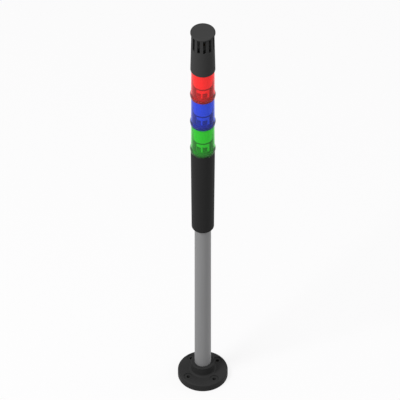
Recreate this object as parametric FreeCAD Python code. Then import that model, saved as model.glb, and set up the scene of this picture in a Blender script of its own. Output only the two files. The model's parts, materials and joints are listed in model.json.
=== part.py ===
"""Modular stack light on a tube stand: foot, aluminium tube, connection housing, three coloured
light modules and a sounder. The modules twist onto each other with a three-lug bayonet.

Frame: millimetres, +Z up, origin at the centre of the foot's underside, front towards -Y.
Angles are in degrees, counter-clockwise from +X seen from above.
"""
import FreeCAD, Part
import math
import os

from FreeCAD import Vector

# ---- directions ----
UP = Vector(0, 0, 1)
ORIGIN = Vector(0, 0, 0)
FRONT = 270.0
REAR = 90.0

# ---- foot ----
foot_diameter = 76.0
foot_thickness = 11.7
foot_edge_round = 2.4
boss_diameter = 35.8
boss_height = 28.0
boss_edge_round = 0.9
boss_root_round = 3.6
foot_seat_height = 4.0
cable_hole_diameter = 18.0
bolt_circle_diameter = 56.0
bolt_count = 4
bolt_first_angle = 45.0
bolt_hole_diameter = 5.5
spotface_diameter = 14.0
spotface_depth = 1.0
foot_roof_thickness = 3.2
foot_rim_width = 6.2
foot_hub_wall = 6.2
foot_rib_thickness = 2.0
foot_rib_count = 8
foot_rib_recess = 1.5
bolt_pillar_diameter = 12.0

# ---- foot gasket ----
gasket_width = 2.2
gasket_height = 1.6
gasket_edge_round = 0.4
gasket_inset = 2.2
gasket_clearance = 0.1

# ---- tube ----
tube_diameter = 25.0
tube_wall = 2.0
tube_edge_chamfer = 0.5
tube_exposed_length = 291.0
tube_clearance = 0.1

# ---- clamping screws ----
screw_diameter = 4.8
screw_hex_width = 2.5
screw_hex_depth = 2.4
screw_clearance = 0.1
screw_recess = 0.4
foot_screw_height = 20.0
housing_screw_height = 21.0

# ---- connection housing ----
housing_height = 162.0
housing_bottom_diameter = 34.0
housing_top_diameter = 36.6
housing_wall = 2.2
housing_edge_round = 1.4
tube_socket_depth = 30.0
tube_stop_width = 1.8
tube_stop_thickness = 2.5
tube_seal_thickness = 1.7
tube_seal_height = 9.0
seal_clearance = 0.05

# ---- bayonet, shared by every joint of the stack ----
neck_diameter = 27.2
neck_height = 5.0
neck_bore_diameter = 23.0
neck_ledge_width = 0.9
lug_count = 3
lug_first_angle = 30.0
lug_width_angle = 24.0
lug_reach = 1.6
lug_thickness = 1.9
bayonet_clearance = 0.2
bayonet_side_clearance = 0.3
twist_angle = 30.0
stop_clearance_angle = 1.0

# ---- collar on the connection housing ----
collar_diameter = 31.6
collar_depth = 4.0
collar_clearance = 0.1
collar_seat_wall = 1.2

# ---- electrical contacts, shared by every joint of the stack ----
contact_disc_thickness = 1.6
contact_disc_drop = 1.4
contact_disc_clearance = 0.1
contact_count = 6
contact_first_angle = 30.0
contact_circle_diameter = 15.0
track_width = 2.2
track_thickness = 0.2
track_overrun_angle = 6.0
pin_diameter = 1.4
pin_collar_diameter = 2.2
pin_collar_height = 1.5
pin_clearance = 0.05
pin_tip_gap = 0.1

# ---- light modules, bottom to top ----
light_colours = ("green", "blue", "red")
module_height = 57.0
lens_top_diameter = 35.3
lens_bottom_diameter = 35.7
lens_wall = 1.7
lens_roof_thickness = 2.4
lens_edge_round = 0.5
ring_diameter = 37.5
ring_lip_diameter = 38.8
ring_lip_height = 4.9
ring_lip_round = 0.7
ring_lip_drop = 1.5
ring_shoulder_height = 10.4
ring_shoulder_round = 1.2
ring_edge_round = 0.4
ring_seat_width = 0.8
ring_seat_height = 3.2
lens_fit_clearance = 0.1

# ---- carrier inside each module ----
carrier_foot_height = 1.7
carrier_web_height = 6.7
carrier_web_thickness = 2.0
carrier_wall = 1.3
carrier_top_height = 27.2
carrier_top_rail = 1.0
post_width_angle = 36.0
post_first_angle = 97.5
post_count = 3

# ---- opal diffuser ----
diffuser_wall = 1.2
diffuser_clearance = 0.25
diffuser_top_gap = 0.3
diffuser_slot_high = 18.4
diffuser_slot_inner_angle = 4.5
diffuser_slot_outer_angle = 38.0

# ---- upright light board ----
board_thickness = 1.6
board_width = 19.0
led_rows = 5
led_length = 3.5
led_width = 2.8
led_height = 1.2
led_pitch = 7.0
led_first_height = 24.0

# ---- seal between modules ----
module_seal_thickness = 1.4
module_seal_clearance = 0.1

# ---- connections in the housing ----
terminal_board_length = 74.0
terminal_board_width = 20.0
terminal_count = 5
terminal_pitch = 3.5
terminal_block_height = 12.0
terminal_block_depth = 8.0
terminal_block_rise = 6.0
terminal_screw_diameter = 2.4
terminal_screw_depth = 4.0
terminal_slot_width = 0.6
terminal_slot_depth = 0.7
terminal_wire_hole = 2.4
terminal_wire_depth = 5.5

# ---- sounder ----
sounder_height = 78.0
sounder_bottom_diameter = 37.8
sounder_neck_diameter = 34.8
sounder_wall = 2.2
sounder_edge_round = 0.6
cap_diameter = 38.0
cap_thickness = 2.9
cap_edge_round = 1.2
cap_spigot_depth = 3.0
cap_spigot_wall = 1.5
cap_clearance = 0.1
baffle_base_diameter = 18.0
baffle_tip_diameter = 5.0
baffle_depth = 9.0
slot_count = 12
slot_first_angle = 15.0
slot_width = 4.4
slot_low = 50.0
slot_top_rail = 0.9
sounder_post_top = 32.0
sounder_board_diameter = 29.0
drum_diameter = 25.0
drum_wall = 1.6
drum_floor = 1.6
drum_height = 16.0
drum_ledge_height = 11.0
drum_ledge_width = 1.0
piezo_thickness = 0.4
piezo_ceramic_diameter = 14.0
piezo_ceramic_thickness = 0.3
piezo_clearance = 0.1
drum_cover_thickness = 1.8
drum_cover_spigot = 1.5
drum_port_diameter = 8.0

# ---- heights that follow from the sizes above ----
housing_base = boss_height + tube_exposed_length
tube_length = housing_base + tube_socket_depth - foot_seat_height
housing_top = housing_base + housing_height
module_bases = [housing_top + i * module_height for i in range(len(light_colours))]
sounder_base = housing_top + len(light_colours) * module_height

# ---- radii that follow from the sizes above ----
tube_radius = tube_diameter / 2
tube_bore_radius = tube_radius - tube_wall
tube_socket_radius = tube_radius + tube_clearance
neck_radius = neck_diameter / 2
neck_bore_radius = neck_bore_diameter / 2
lug_radius = neck_radius + lug_reach
lug_top = neck_height
lug_low = lug_top - lug_thickness
bayonet_bore_radius = neck_radius + bayonet_side_clearance
pocket_radius = lug_radius + bayonet_side_clearance
contact_disc_top = neck_height - contact_disc_drop
contact_disc_radius = neck_bore_radius - contact_disc_clearance
lens_bore_radius = lens_bottom_diameter / 2 - lens_wall
carrier_radius = lens_bore_radius - lens_fit_clearance
carrier_flange_radius = carrier_radius + ring_seat_width
ring_bore_radius = carrier_flange_radius + lens_fit_clearance
carrier_floor = carrier_web_height + carrier_web_thickness
pin_low = contact_disc_top + track_thickness + pin_tip_gap


# ---------------------------------------------------------------- shape helpers
def rounded_wire(corners):
    """Closed wire in the XZ plane. A corner is (radius, height) or (radius, height, rounding)."""
    points = [Vector(corner[0], 0, corner[1]) for corner in corners]
    rounds = [corner[2] if len(corner) > 2 else 0.0 for corner in corners]
    starts, ends, arcs = [], [], []
    for i, here in enumerate(points):
        to_last = (points[i - 1] - here).normalize()
        to_next = (points[(i + 1) % len(points)] - here).normalize()
        if rounds[i] == 0:
            starts.append(here)
            ends.append(here)
            arcs.append(None)
            continue
        half = to_last.getAngle(to_next) / 2
        setback = rounds[i] / math.tan(half)
        middle = (to_last + to_next).normalize()
        centre = here + middle * (rounds[i] / math.sin(half))
        starts.append(here + to_last * setback)
        ends.append(here + to_next * setback)
        arcs.append(Part.Arc(starts[i], centre - middle * rounds[i], ends[i]).toShape())
    edges = []
    for i, arc in enumerate(arcs):
        if ends[i - 1].distanceToPoint(starts[i]) > 1e-6:
            edges.append(Part.LineSegment(ends[i - 1], starts[i]).toShape())
        if arc:
            edges.append(arc)
    return Part.Wire(edges)


def turned(corners, start=0.0, sweep=360.0):
    """Solid of revolution about Z from a closed section, from a start angle through a sweep."""
    solid = Part.Face(rounded_wire(corners)).revolve(ORIGIN, UP, sweep)
    solid.rotate(ORIGIN, UP, start)
    return solid


def ring(inner, outer, low, high):
    """Plain ring between two radii and two heights."""
    return turned([(inner, low), (outer, low), (outer, high), (inner, high)])


def sector(inner, outer, low, high, middle, width):
    """Part of a ring, centred on an angle and as wide as another."""
    section = [(inner, low), (outer, low), (outer, high), (inner, high)]
    return turned(section, middle - width / 2, width)


def disc(radius, low, high):
    """Upright cylinder on the axis."""
    return Part.makeCylinder(radius, high - low, Vector(0, 0, low))


def o_ring(centre_radius, thickness, height):
    """O-ring lying on its side, centred at a height."""
    return Part.makeTorus(centre_radius, thickness / 2, Vector(0, 0, height))


def polar(radius, angle, height=0.0):
    """Point at a radius and angle about Z."""
    turn = math.radians(angle)
    return Vector(radius * math.cos(turn), radius * math.sin(turn), height)


def around(shape, count, first=0.0):
    """Copies of a shape spaced evenly about Z, the first turned by an angle."""
    copies = []
    for i in range(count):
        copy = shape.copy()
        copy.rotate(ORIGIN, UP, first + i * 360.0 / count)
        copies.append(copy)
    return copies


def block(x_size, y_size, low, high, middle=Vector(0, 0, 0)):
    """Box with its middle in plan at a point."""
    corner = Vector(middle.x - x_size / 2, middle.y - y_size / 2, low)
    return Part.makeBox(x_size, y_size, high - low, corner)


def fused(shapes):
    """One solid out of several that meet, with the seams between them removed."""
    return shapes[0].multiFuse(shapes[1:]).removeSplitter()


def raised(shape, height):
    """Copy of a shape moved up."""
    copy = shape.copy()
    copy.translate(UP * height)
    return copy


# ---------------------------------------------------------------- foot and tube
def bolt_places():
    """Angles of the foot's bolt holes."""
    return [bolt_first_angle + i * 360.0 / bolt_count for i in range(bolt_count)]


def gasket_radii():
    """Inner and outer radius of the foot gasket."""
    outer = foot_diameter / 2 - gasket_inset
    return outer - gasket_width, outer


def foot_recess():
    """Hollow under the foot, less the ribs and the pillars round its bolt holes."""
    inner = tube_socket_radius + foot_hub_wall
    outer = foot_diameter / 2 - foot_rim_width
    hollow = ring(inner, outer, 0, foot_thickness - foot_roof_thickness)
    rib = block(foot_diameter, foot_rib_thickness, foot_rib_recess, foot_thickness)
    keep = around(rib, foot_rib_count // 2)
    for angle in bolt_places():
        centre = polar(bolt_circle_diameter / 2, angle)
        keep.append(Part.makeCylinder(bolt_pillar_diameter / 2, foot_thickness, centre))
    return hollow.cut(keep)


def foot():
    """Round foot with a boss that grips the tube, spot-faced bolt holes and a ribbed underside."""
    foot_radius = foot_diameter / 2
    boss_radius = boss_diameter / 2
    body = turned([
        (cable_hole_diameter / 2, 0),
        (foot_radius, 0),
        (foot_radius, foot_thickness, foot_edge_round),
        (boss_radius, foot_thickness, boss_root_round),
        (boss_radius, boss_height, boss_edge_round),
        (tube_socket_radius, boss_height),
        (tube_socket_radius, foot_seat_height),
        (cable_hole_diameter / 2, foot_seat_height),
    ])
    gasket_inner, gasket_outer = gasket_radii()
    cuts = [
        foot_recess(),
        ring(gasket_inner - gasket_clearance, gasket_outer + gasket_clearance, 0, gasket_height),
        clamp_screw_hole(boss_radius, foot_screw_height),
    ]
    for angle in bolt_places():
        centre = polar(bolt_circle_diameter / 2, angle)
        cuts.append(Part.makeCylinder(bolt_hole_diameter / 2, foot_thickness, centre))
        spot = centre + UP * (foot_thickness - spotface_depth)
        cuts.append(Part.makeCylinder(spotface_diameter / 2, foot_thickness, spot))
    return body.cut(cuts)


def foot_gasket():
    """Flat rubber ring let into the foot's underside."""
    inner, outer = gasket_radii()
    return turned([
        (inner, 0, gasket_edge_round),
        (outer, 0, gasket_edge_round),
        (outer, gasket_height),
        (inner, gasket_height),
    ])


def tube():
    """Straight aluminium tube, standing on the seat inside the foot."""
    top = foot_seat_height + tube_length
    return turned([
        (tube_bore_radius, foot_seat_height),
        (tube_radius - tube_edge_chamfer, foot_seat_height),
        (tube_radius, foot_seat_height + tube_edge_chamfer),
        (tube_radius, top - tube_edge_chamfer),
        (tube_radius - tube_edge_chamfer, top),
        (tube_bore_radius, top),
    ])


def clamp_screw_hole(outer_radius, height):
    """Tapped hole through a wall at the rear, from the tube's socket outwards."""
    depth = outer_radius - tube_radius + tube_diameter / 4
    start = polar(tube_radius - tube_diameter / 4, REAR, height)
    radius = screw_diameter / 2 + screw_clearance
    return Part.makeCylinder(radius, depth + screw_diameter, start, polar(1, REAR))


def clamp_screw(wall_radius, height):
    """Socket set screw at the rear that bears on the tube, its end just inside the wall."""
    inner = tube_radius + screw_clearance
    length = wall_radius - screw_recess - inner
    start = polar(inner, REAR, height)
    outward = polar(1, REAR)
    body = Part.makeCylinder(screw_diameter / 2, length, start, outward)
    reach = screw_hex_width / math.sqrt(3)
    corners = []
    for i in range(7):
        turn = math.radians(60 * i)
        corners.append(Vector(reach * math.sin(turn), 0, reach * math.cos(turn)))
    socket = Part.Face(Part.makePolygon(corners)).extrude(outward * screw_hex_depth)
    socket.translate(start + outward * (length - screw_hex_depth))
    return body.cut(socket)


# ---------------------------------------------------------------- bayonet and contacts
def male_neck(root_depth):
    """Neck with three lugs and an inner ledge for the contact disc. Its shoulder is at height 0."""
    ledge_top = contact_disc_top - contact_disc_thickness
    ledge_radius = neck_bore_radius - neck_ledge_width
    neck = turned([
        (ledge_radius, -root_depth),
        (neck_radius, -root_depth),
        (neck_radius, neck_height),
        (neck_bore_radius, neck_height),
        (neck_bore_radius, ledge_top),
        (ledge_radius, ledge_top),
    ])
    root = neck_bore_radius + neck_ledge_width
    lug = sector(root, lug_radius, lug_low, lug_top, 0, lug_width_angle)
    return fused([neck] + around(lug, lug_count, lug_first_angle))


def female_ring(outer_radius):
    """Ring round the neck below, with a pocket for each lug and a gap where the lug comes in."""
    body = ring(bayonet_bore_radius, outer_radius, carrier_foot_height, carrier_web_height)
    pocket_low = lug_low - bayonet_clearance
    pocket_high = lug_top + bayonet_clearance
    slack = 2 * stop_clearance_angle
    pocket = sector(
        bayonet_bore_radius - bayonet_side_clearance, pocket_radius, pocket_low, pocket_high,
        -twist_angle / 2, lug_width_angle + twist_angle + slack)
    gap = sector(
        bayonet_bore_radius - bayonet_side_clearance, pocket_radius, 0, pocket_high,
        -twist_angle, lug_width_angle + slack)
    cuts = around(pocket, lug_count, lug_first_angle) + around(gap, lug_count, lug_first_angle)
    return body.cut(cuts)


def contact_disc():
    """Round board that sits on the ledge in a neck."""
    return disc(contact_disc_radius, contact_disc_top - contact_disc_thickness, contact_disc_top)


def contact_tracks():
    """Copper arcs on the contact disc, each as long as its pin's travel."""
    width = twist_angle + 2 * track_overrun_angle
    track = sector(
        contact_circle_diameter / 2 - track_width / 2, contact_circle_diameter / 2 + track_width / 2,
        contact_disc_top, contact_disc_top + track_thickness, twist_angle / 2, width)
    return Part.makeCompound(around(track, contact_count, contact_first_angle))


def contact_pins():
    """Sprung pins that hang from a carrier's web onto the tracks below."""
    pin = disc(pin_diameter / 2, pin_low, carrier_floor)
    head = disc(pin_collar_diameter / 2, carrier_floor, carrier_floor + pin_collar_height)
    pin = fused([pin, head])
    pin.translate(Vector(contact_circle_diameter / 2, 0, 0))
    return Part.makeCompound(around(pin, contact_count, contact_first_angle))


def carrier(post_top, rail):
    """Moulded insert that closes a module's underside. It holds the bayonet, pins and posts."""
    flange_top = ring_seat_height
    skirt = turned([
        (pocket_radius, carrier_foot_height),
        (carrier_flange_radius, carrier_foot_height),
        (carrier_flange_radius, flange_top),
        (carrier_radius, flange_top),
        (carrier_radius, carrier_floor),
        (0, carrier_floor),
        (0, carrier_web_height),
        (pocket_radius, carrier_web_height),
    ])
    inner = carrier_radius - carrier_wall
    post = sector(inner, carrier_radius, carrier_web_height, post_top, 0, post_width_angle)
    pieces = [skirt, female_ring(carrier_radius)] + around(post, post_count, post_first_angle)
    if rail:
        pieces.append(ring(inner, carrier_radius, post_top - rail, post_top))
    body = fused(pieces)
    hole = disc(pin_diameter / 2 + pin_clearance, 0, post_top)
    hole.translate(Vector(contact_circle_diameter / 2, 0, 0))
    return body.cut(around(hole, contact_count, contact_first_angle))


def module_seal():
    """O-ring under the carrier, lying on the shoulder below."""
    middle = (bayonet_bore_radius + ring_bore_radius) / 2
    return o_ring(middle, module_seal_thickness, module_seal_thickness / 2 + module_seal_clearance)


# ---------------------------------------------------------------- connection housing
def housing_outer_radius(height):
    """Outer radius of the tapered housing at a height above its lower end."""
    share = height / housing_height
    return (housing_bottom_diameter * (1 - share) + housing_top_diameter * share) / 2


def lower_housing():
    """Long tapered housing: tube socket below, wiring space in the middle, collar seat above."""
    stop_low = tube_socket_depth
    stop_high = stop_low + tube_stop_thickness
    seat_low = housing_height - collar_depth
    seat_radius = collar_diameter / 2 + collar_clearance
    space_low_radius = housing_outer_radius(stop_high) - housing_wall
    space_high_radius = seat_radius - collar_seat_wall
    body = turned([
        (tube_socket_radius, 0),
        (housing_bottom_diameter / 2, 0, housing_edge_round),
        (housing_top_diameter / 2, housing_height),
        (seat_radius, housing_height),
        (seat_radius, seat_low),
        (space_high_radius, seat_low),
        (space_low_radius, stop_high),
        (tube_radius - tube_stop_width, stop_high),
        (tube_radius - tube_stop_width, stop_low),
        (tube_socket_radius, stop_low),
    ])
    groove_radius = tube_radius + tube_seal_thickness + 2 * seal_clearance
    groove_half = tube_seal_thickness / 2 + seal_clearance
    groove = ring(tube_radius, groove_radius, tube_seal_height - groove_half,
                  tube_seal_height + groove_half)
    wall_radius = housing_outer_radius(housing_screw_height)
    body = body.cut([groove, clamp_screw_hole(wall_radius, housing_screw_height)])
    return raised(body, housing_base)


def tube_seal():
    """O-ring between the tube and the housing."""
    middle = tube_radius + seal_clearance + tube_seal_thickness / 2
    return o_ring(middle, tube_seal_thickness, housing_base + tube_seal_height)


def bayonet_collar():
    """Insert in the housing's top that carries the lowest neck."""
    bore = neck_bore_radius - neck_ledge_width
    plug = ring(bore, collar_diameter / 2, -collar_depth, 0)
    return raised(fused([plug, male_neck(collar_depth)]), housing_top)


def terminal_board_span():
    """Lower and upper end of the board that hangs under the collar's contact disc."""
    high = housing_top + contact_disc_top - contact_disc_thickness
    return high - terminal_board_length, high


def terminal_board():
    """Upright circuit board under the collar, plugged into the contact disc."""
    low, high = terminal_board_span()
    return block(terminal_board_width, board_thickness, low, high)


def terminal_places():
    """Positions of the terminals across the board."""
    first = -(terminal_count - 1) / 2 * terminal_pitch
    return [first + i * terminal_pitch for i in range(terminal_count)]


def terminal_block():
    """Row of screw terminals on the front of the board, with the wires entering from below."""
    low = terminal_board_span()[0] + terminal_block_rise
    high = low + terminal_block_height
    middle_y = -(board_thickness + terminal_block_depth) / 2
    face_y = -board_thickness / 2 - terminal_block_depth
    width = terminal_count * terminal_pitch
    body = block(width, terminal_block_depth, low, high, Vector(0, middle_y, 0))
    cuts = []
    for x in terminal_places():
        screw = Vector(x, face_y, (low + high) / 2)
        radius = terminal_screw_diameter / 2 + screw_clearance
        cuts.append(Part.makeCylinder(radius, terminal_screw_depth, screw, Vector(0, 1, 0)))
        cuts.append(Part.makeCylinder(
            terminal_wire_hole / 2, terminal_wire_depth - terminal_screw_diameter,
            Vector(x, middle_y, low), UP))
    return body.cut(cuts)


def terminal_screws():
    """Slotted screws in the terminal block."""
    low = terminal_board_span()[0] + terminal_block_rise
    face_y = -board_thickness / 2 - terminal_block_depth
    floor_y = face_y + terminal_screw_depth
    head_y = face_y + 2 * terminal_slot_depth
    screws = []
    for x in terminal_places():
        centre = Vector(x, floor_y, low + terminal_block_height / 2)
        body = Part.makeCylinder(terminal_screw_diameter / 2, floor_y - head_y, centre, Vector(0, -1, 0))
        slot = block(terminal_screw_diameter, terminal_slot_depth, -terminal_slot_width / 2,
                     terminal_slot_width / 2, Vector(0, head_y + terminal_slot_depth / 2, 0))
        slot.translate(Vector(x, 0, centre.z))
        screws.append(body.cut(slot))
    return Part.makeCompound(screws)


# ---------------------------------------------------------------- light module
def lens():
    """Coloured lens with its base ring, shoulder, closed top and neck, moulded in one piece."""
    top = module_height
    ring_radius = ring_diameter / 2
    lip_radius = ring_lip_diameter / 2
    shoulder_radius = lens_bottom_diameter / 2
    roof = top - lens_roof_thickness
    top_bore = lens_top_diameter / 2 - lens_wall
    ledge_radius = neck_bore_radius - neck_ledge_width
    shell = turned([
        (ring_bore_radius, 0),
        (ring_radius, 0, ring_edge_round),
        (ring_radius, ring_lip_height - ring_lip_drop),
        (lip_radius, ring_lip_height - ring_lip_drop / 2, ring_lip_round / 2),
        (lip_radius, ring_lip_height + ring_lip_drop / 2, ring_lip_round),
        (shoulder_radius, ring_shoulder_height, ring_shoulder_round),
        (lens_top_diameter / 2, top, lens_edge_round),
        (ledge_radius, top),
        (ledge_radius, roof),
        (top_bore, roof, lens_edge_round),
        (lens_bore_radius, ring_shoulder_height),
        (lens_bore_radius, ring_seat_height),
        (ring_bore_radius, ring_seat_height),
    ])
    return fused([shell, raised(male_neck(lens_roof_thickness), top)])


def diffuser():
    """Opal sleeve round the light board, standing on the carrier, with two notches between posts."""
    outer = carrier_radius - carrier_wall - diffuser_clearance
    inner = outer - diffuser_wall
    high = module_height - lens_roof_thickness - diffuser_top_gap
    body = ring(inner, outer, carrier_floor, high)
    middle = (diffuser_slot_inner_angle + diffuser_slot_outer_angle) / 2
    width = diffuser_slot_outer_angle - diffuser_slot_inner_angle
    cuts = []
    for side in (-1, 1):
        slot = sector(inner - diffuser_wall, outer + diffuser_wall, carrier_web_height,
                      diffuser_slot_high, side * middle, width)
        cuts += around(slot, post_count, FRONT)
    return body.cut(cuts)


def led_board():
    """Upright circuit board that carries the light chips and feeds the contact disc above."""
    high = module_height + contact_disc_top - contact_disc_thickness
    return block(board_width, board_thickness, carrier_floor, high)


def leds():
    """Two columns of light chips on each face of the board."""
    chip = block(led_length, led_height, -led_width / 2, led_width / 2)
    chips = []
    for side in (-1, 1):
        for column in (-1, 1):
            for row in range(led_rows):
                copy = chip.copy()
                copy.translate(Vector(
                    column * board_width / 4,
                    side * (board_thickness + led_height) / 2,
                    led_first_height + row * led_pitch))
                chips.append(copy)
    return Part.makeCompound(chips)


# ---------------------------------------------------------------- sounder
def sounder_outer_radius(height):
    """Outer radius of the tapered sounder at a height above its base."""
    share = height / (sounder_height - cap_thickness)
    return (sounder_bottom_diameter * (1 - share) + sounder_neck_diameter * share) / 2


def sounder_housing():
    """Tapered shell with a ring of sound slots under the cap."""
    top = sounder_height - cap_thickness
    body = turned([
        (ring_bore_radius, 0),
        (sounder_bottom_diameter / 2, 0, sounder_edge_round),
        (sounder_neck_diameter / 2, top),
        (sounder_neck_diameter / 2 - sounder_wall, top),
        (sounder_outer_radius(slot_low) - sounder_wall, slot_low),
        (lens_bore_radius, sounder_post_top),
        (lens_bore_radius, ring_seat_height),
        (ring_bore_radius, ring_seat_height),
    ])
    reach = sounder_bottom_diameter / 2
    slot_high = top - slot_top_rail
    inner = sounder_neck_diameter / 4
    slot = Part.makeBox(reach, slot_width, slot_high - slot_low, Vector(inner, -slot_width / 2, slot_low))
    foot = Part.makeCylinder(slot_width / 2, reach, Vector(inner, 0, slot_low), Vector(1, 0, 0))
    return body.cut(around(fused([slot, foot]), slot_count, slot_first_angle))


def sounder_cap():
    """Round cap with a spigot inside the shell and a cone that spreads the sound."""
    low = sounder_height - cap_thickness
    spigot_outer = sounder_neck_diameter / 2 - sounder_wall - cap_clearance
    plate = turned([
        (0, low),
        (cap_diameter / 2, low, cap_edge_round / 2),
        (cap_diameter / 2, sounder_height, cap_edge_round),
        (0, sounder_height),
    ])
    spigot = ring(
        spigot_outer - cap_spigot_wall, spigot_outer, low - cap_spigot_depth, low + cap_thickness / 2)
    baffle = Part.makeCone(
        baffle_tip_diameter / 2, baffle_base_diameter / 2, baffle_depth, Vector(0, 0, low - baffle_depth))
    return fused([plate, spigot, baffle])


def sounder_board():
    """Round circuit board on the carrier's posts."""
    return disc(sounder_board_diameter / 2, sounder_post_top, sounder_post_top + board_thickness)


def drum_base():
    """Height of the drum's underside."""
    return sounder_post_top + board_thickness


def sounder_drum():
    """Cup on the board with a ledge for the sounding disc."""
    low = drum_base()
    outer = drum_diameter / 2
    inner = outer - drum_wall
    return turned([
        (0, low),
        (outer, low),
        (outer, low + drum_height),
        (inner, low + drum_height),
        (inner, low + drum_ledge_height),
        (inner - drum_ledge_width, low + drum_ledge_height),
        (inner - drum_ledge_width, low + drum_floor),
        (0, low + drum_floor),
    ])


def piezo_disc():
    """Brass sounding disc with its ceramic face."""
    low = drum_base() + drum_ledge_height
    radius = drum_diameter / 2 - drum_wall - piezo_clearance
    plate = disc(radius, low, low + piezo_thickness)
    ceramic = disc(piezo_ceramic_diameter / 2, low - piezo_ceramic_thickness, low)
    return fused([plate, ceramic])


def drum_cover():
    """Lid of the drum with the sound port in its middle."""
    low = drum_base() + drum_height
    inner = drum_diameter / 2 - drum_wall - piezo_clearance
    return turned([
        (drum_port_diameter / 2, low),
        (inner - drum_wall, low),
        (inner - drum_wall, low - drum_cover_spigot),
        (inner, low - drum_cover_spigot),
        (inner, low),
        (drum_diameter / 2, low),
        (drum_diameter / 2, low + drum_cover_thickness, cap_edge_round / 2),
        (drum_port_diameter / 2, low + drum_cover_thickness),
    ])


# ---------------------------------------------------------------- assembly
def stand_parts():
    """Foot, tube and connection housing."""
    return {
        "foot": foot(),
        "foot_gasket": foot_gasket(),
        "foot_clamp_screw": clamp_screw(boss_diameter / 2, foot_screw_height),
        "tube": tube(),
        "lower_housing": lower_housing(),
        "housing_clamp_screw": raised(
            clamp_screw(housing_outer_radius(housing_screw_height), housing_screw_height), housing_base),
        "tube_seal": tube_seal(),
        "bayonet_collar": bayonet_collar(),
        "collar_contact_disc": raised(contact_disc(), housing_top),
        "collar_contact_tracks": raised(contact_tracks(), housing_top),
        "terminal_board": terminal_board(),
        "terminal_block": terminal_block(),
        "terminal_screws": terminal_screws(),
    }


def light_parts():
    """Pieces of one light module, by the first word of their names."""
    return {
        "lens": lens(),
        "carrier": carrier(carrier_top_height, carrier_top_rail),
        "contact_pins": contact_pins(),
        "module_seal": module_seal(),
        "diffuser": diffuser(),
        "led_board": led_board(),
        "leds": leds(),
        "contact_disc": raised(contact_disc(), module_height),
        "contact_tracks": raised(contact_tracks(), module_height),
    }


def sounder_parts():
    """Pieces of the sounder module."""
    return {
        "sounder_housing": sounder_housing(),
        "sounder_cap": sounder_cap(),
        "carrier_sounder": carrier(sounder_post_top, 0),
        "contact_pins_sounder": contact_pins(),
        "module_seal_sounder": module_seal(),
        "sounder_board": sounder_board(),
        "sounder_drum": sounder_drum(),
        "piezo_disc": piezo_disc(),
        "drum_cover": drum_cover(),
    }


def assembly():
    """Every piece of the stack light by name, at its place."""
    parts = stand_parts()
    light = light_parts()
    for colour, base in zip(light_colours, module_bases):
        for name, shape in light.items():
            parts[name + "_" + colour] = raised(shape, base)
    for name, shape in sounder_parts().items():
        parts[name] = raised(shape, sounder_base)
    return parts


os.makedirs("parts", exist_ok=True)
for node, solid in assembly().items():
    solid.exportStep("parts/" + node + ".step")
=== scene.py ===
"""Finishes, floor, light and camera for the stack light. Metres, +Z up, front towards -Y."""
import json
import math

import bpy
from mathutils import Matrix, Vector


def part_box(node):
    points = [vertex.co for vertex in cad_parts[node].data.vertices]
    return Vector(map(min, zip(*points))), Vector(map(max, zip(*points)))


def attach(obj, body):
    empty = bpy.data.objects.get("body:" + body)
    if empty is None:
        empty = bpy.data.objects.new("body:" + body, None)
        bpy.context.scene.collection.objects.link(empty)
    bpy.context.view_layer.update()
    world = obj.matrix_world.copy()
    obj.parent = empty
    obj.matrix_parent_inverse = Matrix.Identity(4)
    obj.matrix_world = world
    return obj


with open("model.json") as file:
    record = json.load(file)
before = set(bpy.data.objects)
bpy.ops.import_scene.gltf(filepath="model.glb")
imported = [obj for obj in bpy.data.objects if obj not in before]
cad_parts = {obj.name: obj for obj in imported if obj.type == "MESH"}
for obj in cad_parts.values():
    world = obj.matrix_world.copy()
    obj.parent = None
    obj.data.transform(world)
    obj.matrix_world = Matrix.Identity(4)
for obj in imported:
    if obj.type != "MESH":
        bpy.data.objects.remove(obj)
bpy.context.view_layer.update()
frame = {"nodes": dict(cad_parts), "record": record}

nodes = frame["nodes"]

# ---- camera: a very long lens, so that the view is nearly parallel ----
camera_azimuth = 6.8
camera_elevation = 45.0
view_width = 0.604
view_aim = Vector((-0.00432, 0.0, 0.3734))
lens_length = 1700.0
sensor_width = 36.0
near_clip = 0.1
far_clip_ratio = 2.0

# ---- floor and light ----
backdrop_white = (0.973, 0.97, 0.973, 1.0)
sky_strength = 0.70
floor_reach = 6.0
floor_drop = 0.0002
floor_glow = 0.87
floor_grey = 0.10
floor_bounce = 0.22
lamp_aim = Vector((0.0, 0.0, 0.4))
key_place = Vector((-1.32, -1.19, 2.35))
key_size = 0.9
key_power = 64.0
rim_place = Vector((1.8, 0.6, 0.9))
rim_size = 0.8
rim_power = 9.0

# ---- light modules: height of each one's foot, from which the heights below are measured ----
lens_base = {"green": 0.481, "blue": 0.538, "red": 0.595}

# ---- lenses: share of the light that a surface scatters (haze) or mirrors, and its ripple ----
ring_top = 0.0104
ring_blend = 0.003
ring_haze_low = 0.10
ring_haze_high = 0.22
wall_haze = 0.14
mirror_least = 0.025
mirror_most = 0.54
mirror_power = 5
ripple_size = 0.012
ripple_stretch = (1, 1, 0.3)
ripple_depth = 0.00006
ripple_gloss = 0.06
lens_roughness = 0.08

# ---- lenses: painted shade, a dark band painted round the base ring's side where that side turns away ----
band_low = 0.0046
band_high = 0.0088
band_soft = 0.0004
band_haze = 0.9
band_shade = 0.08
band_gain = 4.4
band_start = 0.85

# ---- opal sleeves ----
opal_cloud = 0.02
opal_tones = (0.97, 1.0)
opal_roughness = 0.45
opal_radius = (1.0, 1.0, 1.0)
opal_depth = 0.006
# painted glow: the sleeve emits light of its own, standing in for light that strays inside it
opal_painted_glow = 0.6

# ---- inserts: dark moulding, with a painted highlight: the web's up-facing top painted pale ----
carrier_black = (0.05, 0.05, 0.052, 1.0)
insert_cloud = 0.02
insert_tones = (0.9, 1.1)
insert_roughness = 0.42
insert_gloss = 0.06
web_top = 0.0087
web_reach = 0.00035
web_soft = 0.00015
web_painted_highlight = 0.27
upward_gain = 10
upward_start = 8

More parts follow.
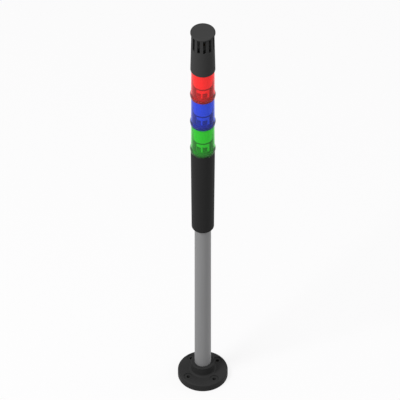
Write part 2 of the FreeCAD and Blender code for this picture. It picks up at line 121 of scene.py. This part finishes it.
# ---- moulded plastic: pattern sizes, depth, and how far the tone and the gloss vary ----
mould_cloud = 0.03
mould_grain = 0.00035
mould_grain_roughness = 0.6
mould_depth = 0.00001
mould_tones = (0.9, 1.1)
mould_fleck_tone = 1.5
mould_fleck_share = 0.3
mould_polish = 0.05
mould_cloud_gloss = 0.08
mould_grain_gloss = 0.05

# ---- anodised tube: fine draw lines and wider streaks, both along Z ----
draw_line = 0.0004
draw_line_stretch = (1, 1, 0.01)
draw_line_depth = 0.000004
draw_line_gloss = 0.10
streak = 0.004
streak_stretch = (1, 1, 0.03)
streak_tones = (0.94, 1.06)
streak_gloss = 0.06
anodised_roughness = 0.40
anodised_metallic = 0.25
anodised_specular = 0.2

# ---- rubber, circuit board, metal and resin ----
dust_grain = 0.0008
dust_greys = (0.012, 0.03)
dust_depth = 0.00002
dust_gloss = 0.15
rubber_roughness = 0.75
strand_length = 0.0009
strand_pitch = 0.0005
strand_gap = 0.00006
strand_greys = (0.9, 1.0)
strand_gap_grey = 0.75
weave_share = 0.12
board_roughness = 0.35
metal_grain = 0.0003
metal_stretch = (1, 1, 0.2)
metal_depth = 0.000004
metal_tones = (0.88, 1.0)
metal_gloss = 0.12
resin_cloud = 0.0006
resin_roughness = 0.3

# ---- small chips in a grid low on each light board: sizes are length, thickness, height ----
chip_columns = 5
chip_rows = 2
chip_column_pitch = 0.0034
chip_row_pitch = 0.0032
chip_grid_height = 0.0138
chip_body_size = (0.0014, 0.0005, 0.0012)
chip_end_size = (0.0003, 0.00056, 0.00125)


# ---------------------------------------------------------------- node helpers
class Value:
    """What a socket gives. Arithmetic on it adds Math nodes."""

    def __init__(self, work, socket):
        self.work = work
        self.socket = socket

    def _math(self, operation, *values):
        return self.work.add("ShaderNodeMath", {"operation": operation}, dict(enumerate(values)))

    def __add__(self, other):
        return self._math("ADD", self, other)

    def __radd__(self, other):
        return self._math("ADD", other, self)

    def __sub__(self, other):
        return self._math("SUBTRACT", self, other)

    def __rsub__(self, other):
        return self._math("SUBTRACT", other, self)

    def __mul__(self, other):
        return self._math("MULTIPLY", self, other)

    def __rmul__(self, other):
        return self._math("MULTIPLY", other, self)

    def __truediv__(self, other):
        return self._math("DIVIDE", self, other)

    def __pow__(self, other):
        return self._math("POWER", self, other)

    def within(self, low, high):
        """The value held between two limits."""
        return self.work.add("ShaderNodeClamp", {}, {"Value": self, "Min": low, "Max": high})


class Nodes:
    """A node tree of any kind."""

    def __init__(self, tree):
        self.tree = tree

    def add(self, kind, settings=None, inputs=None, output=0):
        """Adds a node: first its settings, then the values or links of its sockets."""
        node = self.tree.nodes.new(kind)
        for name, value in (settings or {}).items():
            setattr(node, name, value)
        for name, value in (inputs or {}).items():
            for single in value if isinstance(value, list) else [value]:
                if isinstance(single, Value):
                    self.tree.links.new(single.socket, node.inputs[name])
                else:
                    node.inputs[name].default_value = single
        return Value(self, node.outputs[output]) if node.outputs else None


class Paint(Nodes):
    """The nodes of one material or of the world."""

    def __init__(self, owner):
        self.owner = owner
        owner.use_nodes = True
        owner.node_tree.nodes.clear()
        super().__init__(owner.node_tree)

    def place(self, stretch=(1, 1, 1)):
        """Object coordinates, stretched along the axes."""
        coordinates = self.add("ShaderNodeTexCoord", output="Object")
        return self.add("ShaderNodeMapping", {}, {"Vector": coordinates, "Scale": stretch})

    def upright(self, vector):
        """Z part of a vector."""
        return self.add("ShaderNodeSeparateXYZ", {}, {0: vector}, output=2)

    def noise(self, size, detail=3.0, stretch=(1, 1, 1), roughness=0.5):
        """Noise whose features are about as large as a size in metres."""
        settings = {"noise_dimensions": "3D"}
        return self.add("ShaderNodeTexNoise", settings, {
            "Vector": self.place(stretch), "Scale": 1 / size, "Detail": detail,
            "Roughness": roughness})

    def blend(self, factor, first, second):
        """Mix of two colours."""
        settings = {"data_type": "RGBA"}
        return self.add("ShaderNodeMix", settings, {0: factor, 6: first, 7: second}, output=2)

    def tone(self, pattern, colour, tones):
        """Colour that a pattern varies between a darker and a lighter shade."""
        darker, lighter = tones
        return self.blend(pattern, shade(colour, darker), shade(colour, lighter))

    def bump(self, height, depth):
        """Normal of a surface raised by a height pattern to a depth in metres."""
        return self.add("ShaderNodeBump", {}, {
            "Height": height, "Distance": depth, "Strength": 1.0})

    def height_above(self, low, high):
        """Zero below one height in metres and one above another, with a smooth step between."""
        return self.add("ShaderNodeMapRange", {"interpolation_type": "SMOOTHSTEP"}, {
            "Value": self.upright(self.place()), "From Min": low, "From Max": high})

    def between(self, low, high, soft):
        """One between two heights in metres and zero outside, with soft limits."""
        above_low = self.height_above(low - soft, low + soft)
        return above_low - self.height_above(high - soft, high + soft)

    def facing(self):
        """Zero where a surface faces the eye and one where it is seen edge on."""
        return self.add("ShaderNodeLayerWeight", {}, {"Blend": 0.5}, output=1)

    def principled(self, sockets):
        """Solid surface with the given values or links of its sockets."""
        return self.add("ShaderNodeBsdfPrincipled", {}, sockets)

    def finish(self, shader, output="ShaderNodeOutputMaterial"):
        """Sends a shader to the surface and returns what owns the nodes."""
        self.add(output, {}, {"Surface": shader})
        return self.owner


def new_paint(name):
    """Nodes of a new material."""
    return Paint(bpy.data.materials.new(name))


def rgb(red, green, blue):
    """Colour with full alpha."""
    return (red, green, blue, 1.0)


def grey(level):
    """Neutral colour."""
    return rgb(level, level, level)


def shade(colour, factor):
    """Colour made darker or lighter."""
    return rgb(*(channel * factor for channel in colour[:3]))


# ---------------------------------------------------------------- finishes
def moulded(name, colour, roughness, specular=0.5):
    """Moulded plastic with a fine spark-eroded texture, slightly uneven in colour and gloss."""
    paint = new_paint(name)
    cloud = paint.noise(mould_cloud, detail=2.0)
    grain = paint.noise(mould_grain, detail=4.0, roughness=mould_grain_roughness)
    tone = paint.tone(cloud, colour, mould_tones)
    tone = paint.blend(grain * mould_fleck_share, tone, shade(colour, mould_fleck_tone))
    gloss = roughness - mould_polish + mould_cloud_gloss * cloud + mould_grain_gloss * grain
    return paint.finish(paint.principled({
        "Base Color": tone, "Roughness": gloss, "Specular IOR Level": specular,
        "Normal": paint.bump(grain, mould_depth)}))


def anodised(name, colour):
    """Extruded aluminium, satin anodised, with faint draw lines along Z."""
    paint = new_paint(name)
    lines = paint.noise(draw_line, detail=3.0, stretch=draw_line_stretch)
    streaks = paint.noise(streak, detail=2.0, stretch=streak_stretch)
    return paint.finish(paint.principled({
        "Base Color": paint.tone(streaks, colour, streak_tones),
        "Metallic": anodised_metallic, "Specular IOR Level": anodised_specular,
        "Roughness": anodised_roughness + draw_line_gloss * lines + streak_gloss * streaks,
        "Normal": paint.bump(lines, draw_line_depth)}))


def tinted(name, tint, body, base):
    """Clear plastic coloured right through, hazier in its base ring and mirror-like edge on.

    A clear shader and a solid one are mixed. The solid one's share, the cover, is what the
    surface scatters and mirrors. The dark band is painted shade on the ring's side, strongest
    where that side is seen at a slant: it covers more and scatters almost nothing.
    """
    paint = new_paint(name)
    ripple = paint.noise(ripple_size, detail=1.0, stretch=ripple_stretch)
    edge = paint.facing()
    up_ring = paint.height_above(base, base + ring_top)
    past_ring = paint.height_above(base + ring_top - ring_blend, base + ring_top + ring_blend)
    # painted shade: dark band on the ring's side, strongest where that side is seen at a slant
    band = paint.between(base + band_low, base + band_high, band_soft)
    band = band * (band_gain * edge - band_start).within(0.0, 1.0)
    haze = ring_haze_low + (ring_haze_high - ring_haze_low) * up_ring
    haze = haze + (wall_haze - ring_haze_high) * past_ring
    haze = haze + (band_haze - haze) * band
    mirror = mirror_least + (mirror_most - mirror_least) * edge ** mirror_power
    mirror = mirror * (1 - haze) * (1 - band)
    cover = (haze + mirror).within(0.0, 1.0)
    mirrored = (mirror / cover).within(0.0, 1.0)
    # body colour darkened inside the painted shade band
    body_with_painted_shade = paint.blend(band, body, shade(body, band_shade))
    clear = paint.add("ShaderNodeBsdfTransparent", {}, {"Color": tint})
    solid = paint.principled({
        "Base Color": paint.blend(mirrored, body_with_painted_shade, grey(1)), "Metallic": mirrored,
        "Roughness": lens_roughness + ripple_gloss * ripple,
        "Normal": paint.bump(ripple, ripple_depth)})
    return paint.finish(paint.add("ShaderNodeMixShader", {}, {0: cover, 1: clear, 2: solid}))


def opal(name, colour):
    """White light-scattering plastic, with a weak painted glow: emission standing in for the
    light that strays in it.
    """
    paint = new_paint(name)
    return paint.finish(paint.principled({
        "Base Color": paint.tone(paint.noise(opal_cloud), colour, opal_tones),
        "Roughness": opal_roughness, "Subsurface Weight": 1.0,
        "Subsurface Radius": opal_radius, "Subsurface Scale": opal_depth,
        "Emission Color": colour, "Emission Strength": opal_painted_glow}))


def insert(name, colour, base):
    """Moulded insert with a painted highlight: its web is painted pale on the up-facing top,
    where light falls; the pale top also throws light outwards.
    """
    paint = new_paint(name)
    cloud = paint.noise(insert_cloud, detail=2.0)
    # painted highlight: pale colour only on the web's up-facing top, at the web's height
    level = paint.between(base + web_top - web_reach, base + web_top + web_reach, web_soft)
    upward = paint.upright(paint.add("ShaderNodeTexCoord", output="Normal"))
    painted_top_highlight = level * (upward_gain * upward - upward_start).within(0.0, 1.0)
    tone = paint.tone(cloud, colour, insert_tones)
    return paint.finish(paint.principled({
        "Base Color": paint.blend(painted_top_highlight, tone, grey(web_painted_highlight)),
        "Roughness": insert_roughness + insert_gloss * cloud}))


def rubber(name):
    """Matt black rubber with a fine dusty bloom."""
    paint = new_paint(name)
    dust = paint.noise(dust_grain, detail=4.0)
    return paint.finish(paint.principled({
        "Base Color": paint.blend(dust, *map(grey, dust_greys)),
        "Roughness": rubber_roughness + dust_gloss * dust,
        "Normal": paint.bump(dust, dust_depth)}))


def board(name, mask):
    """Solder mask with the weave of the laminate showing faintly."""
    paint = new_paint(name)
    first, second = map(grey, strand_greys)
    weave = paint.add("ShaderNodeTexBrick", {"offset": 0.5}, {
        "Vector": paint.place(), "Scale": 1.0, "Color1": first, "Color2": second,
        "Mortar": grey(strand_gap_grey), "Mortar Size": strand_gap,
        "Brick Width": strand_length, "Row Height": strand_pitch})
    return paint.finish(paint.principled({
        "Base Color": paint.blend(weave_share, mask, weave), "Roughness": board_roughness}))


def metal(name, colour, roughness):
    """Plain or plated metal with fine machining marks."""
    paint = new_paint(name)
    marks = paint.noise(metal_grain, detail=3.0, stretch=metal_stretch)
    return paint.finish(paint.principled({
        "Base Color": paint.tone(marks, colour, metal_tones), "Metallic": 1.0,
        "Roughness": roughness + metal_gloss * marks,
        "Normal": paint.bump(marks, metal_depth)}))


def resin(name, dark, light):
    """Yellow casting over a light chip."""
    paint = new_paint(name)
    return paint.finish(paint.principled({
        "Base Color": paint.blend(paint.noise(resin_cloud), dark, light),
        "Roughness": resin_roughness}))


def finishes():
    """A material for each of the record's slots."""
    return {
        "black_plastic": moulded("black_plastic", grey(0.0175), roughness=0.6, specular=0.06),
        "carrier_plastic": moulded("carrier_plastic", carrier_black, roughness=0.45),
        "anodised_aluminium": anodised("anodised_aluminium", rgb(0.24, 0.24, 0.243)),
        "green_lens": tinted(
            "green_lens", rgb(0.19, 0.825, 0.18), rgb(0.008, 0.52, 0.008), lens_base["green"]),
        "blue_lens": tinted(
            "blue_lens", rgb(0.18, 0.325, 0.895), rgb(0.008, 0.04, 0.72), lens_base["blue"]),
        "red_lens": tinted(
            "red_lens", rgb(1.0, 0.175, 0.175), rgb(0.97, 0.004, 0.004), lens_base["red"]),
        "opal_plastic": opal("opal_plastic", rgb(0.62, 0.62, 0.611)),
        "circuit_board": board("circuit_board", rgb(0.75, 0.77, 0.74)),
        "led_resin": resin("led_resin", rgb(0.78, 0.66, 0.18), rgb(0.85, 0.76, 0.32)),
        "contact_metal": metal("contact_metal", rgb(0.85, 0.62, 0.25), roughness=0.25),
        "disc_brass": metal("disc_brass", rgb(0.72, 0.52, 0.22), roughness=0.3),
        "terminal_plastic": moulded("terminal_plastic", rgb(0.03, 0.16, 0.05), roughness=0.4),
        "screw_steel": metal("screw_steel", rgb(0.55, 0.55, 0.57), roughness=0.3),
        "rubber_seal": rubber("rubber_seal"),
    }


def own_finishes():
    """Materials of the pieces that differ a little from the rest of their slot."""
    sounder = moulded("sounder_black", grey(0.032), roughness=0.6, specular=0.06)
    foot = moulded("foot_black", grey(0.0205), roughness=0.6, specular=0.08)
    inserts = {
        f"carrier_{colour}": insert(f"insert_{colour}", carrier_black, base)
        for colour, base in lens_base.items()}
    return {"foot": foot, "sounder_housing": sounder, "sounder_cap": sounder, **inserts}


def dress_nodes():
    """Gives every carried-over piece its material."""
    by_slot = finishes()
    by_node = own_finishes()
    for row in frame["record"]["subparts"]:
        mesh = nodes[row["node"]].data
        mesh.materials.clear()
        mesh.materials.append(by_node.get(row["node"], by_slot[row["material_slot"]]))


# ---------------------------------------------------------------- pieces added here
def chip_grid_tree():
    """Geometry Nodes: blocks in a grid on both faces of an upright board."""
    kinds = {
        "Columns": "Int", "Rows": "Int", "Column Pitch": "Float", "Row Pitch": "Float",
        "Grid Height": "Float", "Face Distance": "Float", "Block Size": "Vector",
        "Blocks": "Int", "Block Spread": "Float", "Finish": "Material"}
    tree = bpy.data.node_groups.new("chip_grid", "GeometryNodeTree")
    tree.interface.new_socket("Geometry", in_out="OUTPUT", socket_type="NodeSocketGeometry")
    for name, kind in kinds.items():
        tree.interface.new_socket(name, in_out="INPUT", socket_type="NodeSocket" + kind)
    work = Nodes(tree)
    given = tree.nodes.new("NodeGroupInput")
    value = {name: Value(work, given.outputs[name]) for name in kinds}

    def vector(x=0.0, y=0.0, z=0.0):
        return work.add("ShaderNodeCombineXYZ", {}, {"X": x, "Y": y, "Z": z})

    points = work.add("GeometryNodeMeshGrid", {}, {
        "Size X": (value["Columns"] - 1) * value["Column Pitch"],
        "Size Y": (value["Rows"] - 1) * value["Row Pitch"],
        "Vertices X": value["Columns"], "Vertices Y": value["Rows"]})
    points = work.add("GeometryNodeTransform", {}, {
        "Geometry": points, "Rotation": (math.pi / 2, 0, 0),
        "Translation": vector(y=-1 * value["Face Distance"])})
    block = work.add("GeometryNodeMeshCube", {}, {"Size": value["Block Size"]})
    pair = work.add("GeometryNodeMeshLine", {"mode": "OFFSET"}, {
        "Count": value["Blocks"], "Start Location": vector(x=value["Block Spread"] * -0.5),
        "Offset": vector(x=value["Block Spread"])})
    chip = work.add("GeometryNodeInstanceOnPoints", {}, {"Points": pair, "Instance": block})
    front = work.add("GeometryNodeInstanceOnPoints", {}, {"Points": points, "Instance": chip})
    back = work.add("GeometryNodeTransform", {}, {"Geometry": front, "Rotation": (0, 0, math.pi)})
    both = work.add("GeometryNodeJoinGeometry", {}, {"Geometry": [front, back]})
    both = work.add("GeometryNodeTransform", {}, {
        "Geometry": both, "Translation": vector(z=value["Grid Height"])})
    solid = work.add("GeometryNodeRealizeInstances", {}, {"Geometry": both})
    solid = work.add("GeometryNodeSetMaterial", {}, {
        "Geometry": solid, "Material": value["Finish"]})
    work.add("NodeGroupOutput", {}, {"Geometry": solid})
    return tree


def grown(name, tree, values):
    """Plain mesh object that a Geometry Nodes tree gives for named values."""
    piece = bpy.data.objects.new(name, bpy.data.meshes.new(name))
    bpy.context.scene.collection.objects.link(piece)
    modifier = piece.modifiers.new(tree.name, "NODES")
    modifier.node_group = tree
    for socket in tree.interface.items_tree:
        if socket.in_out == "INPUT":
            modifier[socket.identifier] = values[socket.name]
    graph = bpy.context.evaluated_depsgraph_get()
    mesh = bpy.data.meshes.new_from_object(piece.evaluated_get(graph), depsgraph=graph)
    piece.modifiers.remove(modifier)
    piece.data = mesh
    mesh.name = name
    return piece


def add_board_chips():
    """Resistors of each light board: dark ceramic bodies with tinned ends, on both faces."""
    tree = chip_grid_tree()
    ceramic = moulded("chip_ceramic", rgb(0.02, 0.022, 0.03), roughness=0.35)
    tin = metal("tinned_end", rgb(0.75, 0.75, 0.77), roughness=0.3)
    spread = chip_body_size[0] + chip_end_size[0]
    kinds = (
        ("resistor_bodies", chip_body_size, 1, 0.0, ceramic, "carrier_plastic"),
        ("resistor_ends", chip_end_size, 2, spread, tin, "screw_steel"))
    for colour, base in lens_base.items():
        low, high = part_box(f"led_board_{colour}")
        for name, size, blocks, apart, finish, slot in kinds:
            piece = grown(f"{name}_{colour}", tree, {
                "Columns": chip_columns, "Rows": chip_rows, "Column Pitch": chip_column_pitch,
                "Row Pitch": chip_row_pitch, "Grid Height": base + chip_grid_height,
                "Face Distance": (high.y - low.y + size[1]) / 2, "Block Size": size,
                "Blocks": blocks, "Block Spread": apart, "Finish": finish})
            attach(piece, f"{colour}_light")


# ---------------------------------------------------------------- surroundings
def seen_directly(paint):
    """One for a ray from the camera, or one that is mirrored or refracted, and zero for light."""
    kinds = [paint.add("ShaderNodeLightPath", output=kind) for kind in (
        "Is Camera Ray", "Is Glossy Ray", "Is Transmission Ray")]
    return (kinds[0] + kinds[1] + kinds[2]).within(0.0, 1.0)


def make_floor():
    """Pale floor that takes the object's shadow."""
    mesh = bpy.data.meshes.new("floor")
    corners = [
        (x * floor_reach, y * floor_reach, 0) for x, y in ((-1, -1), (1, -1), (1, 1), (-1, 1))]
    mesh.from_pydata(corners, [], [(0, 1, 2, 3)])
    floor = bpy.data.objects.new("floor", mesh)
    floor.location.z = -floor_drop
    bpy.context.scene.collection.objects.link(floor)
    paint = new_paint("floor")
    glow = paint.add("ShaderNodeEmission", {}, {"Color": backdrop_white, "Strength": floor_glow})
    shadowed = paint.add("ShaderNodeBsdfDiffuse", {}, {"Color": grey(floor_grey)})
    shown = paint.add("ShaderNodeAddShader", {}, {0: glow, 1: shadowed})
    plain = paint.add("ShaderNodeBsdfDiffuse", {}, {"Color": grey(floor_bounce)})
    mesh.materials.append(paint.finish(paint.add(
        "ShaderNodeMixShader", {}, {0: seen_directly(paint), 1: plain, 2: shown})))


def make_world():
    """Even white sky: plain level for light, backdrop white where it is seen."""
    world = bpy.data.worlds.new("sky")
    bpy.context.scene.world = world
    paint = Paint(world)
    light = paint.add("ShaderNodeBackground", {}, {"Color": grey(1), "Strength": sky_strength})
    seen = paint.add("ShaderNodeBackground", {}, {"Color": backdrop_white, "Strength": 1.0})
    mixed = paint.add("ShaderNodeMixShader", {}, {0: seen_directly(paint), 1: light, 2: seen})
    paint.finish(mixed, "ShaderNodeOutputWorld")


def make_lamp(name, place, size, power):
    """Square area lamp that points at the middle of the object."""
    data = bpy.data.lights.new(name, "AREA")
    data.size = size
    data.energy = power
    lamp = bpy.data.objects.new(name, data)
    lamp.location = place
    lamp.rotation_euler = (lamp_aim - place).to_track_quat("-Z", "Y").to_euler()
    bpy.context.scene.collection.objects.link(lamp)


def make_lamps():
    """Soft key from the upper left, weak rim from the right rear."""
    make_lamp("key", key_place, key_size, key_power)
    make_lamp("rim", rim_place, rim_size, rim_power)


def make_camera():
    """Long lens from the front, slightly right, looking down at 45 degrees."""
    azimuth = math.radians(camera_azimuth)
    elevation = math.radians(camera_elevation)
    back = Vector((
        math.sin(azimuth) * math.cos(elevation),
        -math.cos(azimuth) * math.cos(elevation),
        math.sin(elevation)))
    distance = view_width * lens_length / sensor_width
    data = bpy.data.cameras.new("camera")
    data.lens = lens_length
    data.sensor_width = sensor_width
    data.clip_start = near_clip
    data.clip_end = far_clip_ratio * distance
    camera = bpy.data.objects.new("camera", data)
    camera.location = view_aim + back * distance
    camera.rotation_euler = (-back).to_track_quat("-Z", "Y").to_euler()
    bpy.context.scene.collection.objects.link(camera)
    bpy.context.scene.camera = camera


dress_nodes()
add_board_chips()
make_floor()
make_world()
make_lamps()
make_camera()
bpy.context.scene.view_settings.view_transform = "Standard"
